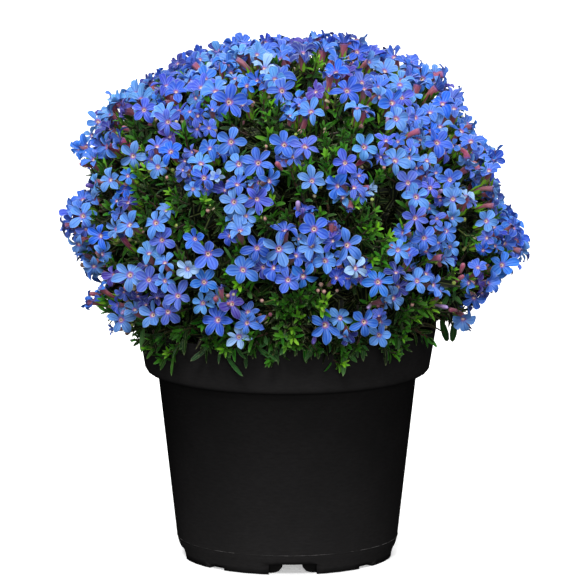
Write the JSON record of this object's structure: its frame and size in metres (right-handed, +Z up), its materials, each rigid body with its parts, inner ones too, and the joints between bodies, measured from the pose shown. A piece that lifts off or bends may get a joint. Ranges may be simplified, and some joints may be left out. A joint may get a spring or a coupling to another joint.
{
  "type": "potted lithodora",
  "caption": "Low mounded flowering plant with narrow leaves and star-shaped blue flowers, rooted in compost in a tapered black nursery pot with drain channels under its foot.",
  "frame": {"origin": "on the ground, at the middle of the plant's bounding box; the pot's axis stands 4.7 mm to its left", "axes": "+Z up; the front of the plant faces -Y; +X to the right seen from the front"},
  "size_m": [0.2373, 0.2419, 0.269],
  "materials": {
    "pot_plastic": "matte black moulded plastic with fine flow streaks",
    "compost": "dark moist bark-based compost, rough and crumbly",
    "woody_stem": "brown woody stem with fine bark",
    "leaf": "hairy green leaf, bright at the shoot tips and darker below",
    "old_leaf": "dull grey-green leaf with a pale midrib",
    "petal": "thin blue petal with a darker mid vein, dusty red tube and pale throat"
  },
  "bodies": {
    "root": {"pot": "pot_plastic", "potting_soil": "compost", "root_crown": "woody_stem", "leafy_branch_01": "leaf", "leafy_branch_02": "leaf", "leafy_branch_03": "leaf", "leafy_branch_04": "leaf", "leafy_branch_05": "leaf", "leafy_branch_06": "leaf", "leafy_branch_07": "leaf", "leafy_branch_08": "leaf", "leafy_branch_09": "leaf", "leafy_branch_10": "leaf", "leafy_branch_11": "leaf", "leafy_branch_12": "leaf", "leafy_branch_13": "leaf", "leafy_branch_14": "leaf", "leafy_branch_15": "leaf", "leafy_branch_16": "leaf", "leafy_branch_17": "leaf", "leafy_branch_18": "leaf", "leafy_branch_19": "leaf", "leafy_branch_20": "leaf", "leafy_branch_21": "leaf", "leafy_branch_22": "leaf", "leafy_branch_23": "leaf", "leafy_branch_24": "leaf", "trailing_shoot_01": "old_leaf", "trailing_shoot_02": "old_leaf", "trailing_shoot_03": "old_leaf", "trailing_shoot_04": "old_leaf", "trailing_shoot_05": "old_leaf", "trailing_shoot_06": "old_leaf", "trailing_shoot_07": "old_leaf", "trailing_shoot_08": "old_leaf", "flower_spray_01": "petal", "flower_spray_02": "petal", "flower_spray_03": "petal", "flower_spray_04": "petal", "flower_spray_05": "petal", "flower_spray_06": "petal", "flower_spray_07": "petal", "flower_spray_08": "petal", "flower_spray_09": "petal", "flower_spray_10": "petal", "flower_spray_11": "petal", "flower_spray_12": "petal", "flower_spray_13": "petal", "flower_spray_14": "petal", "flower_spray_15": "petal", "flower_spray_16": "petal", "flower_spray_17": "petal", "flower_spray_18": "petal", "flower_spray_19": "petal", "flower_spray_20": "petal", "flower_spray_21": "petal", "flower_spray_22": "petal", "flower_spray_23": "petal", "flower_spray_24": "petal"}
  },
  "joints": []
}
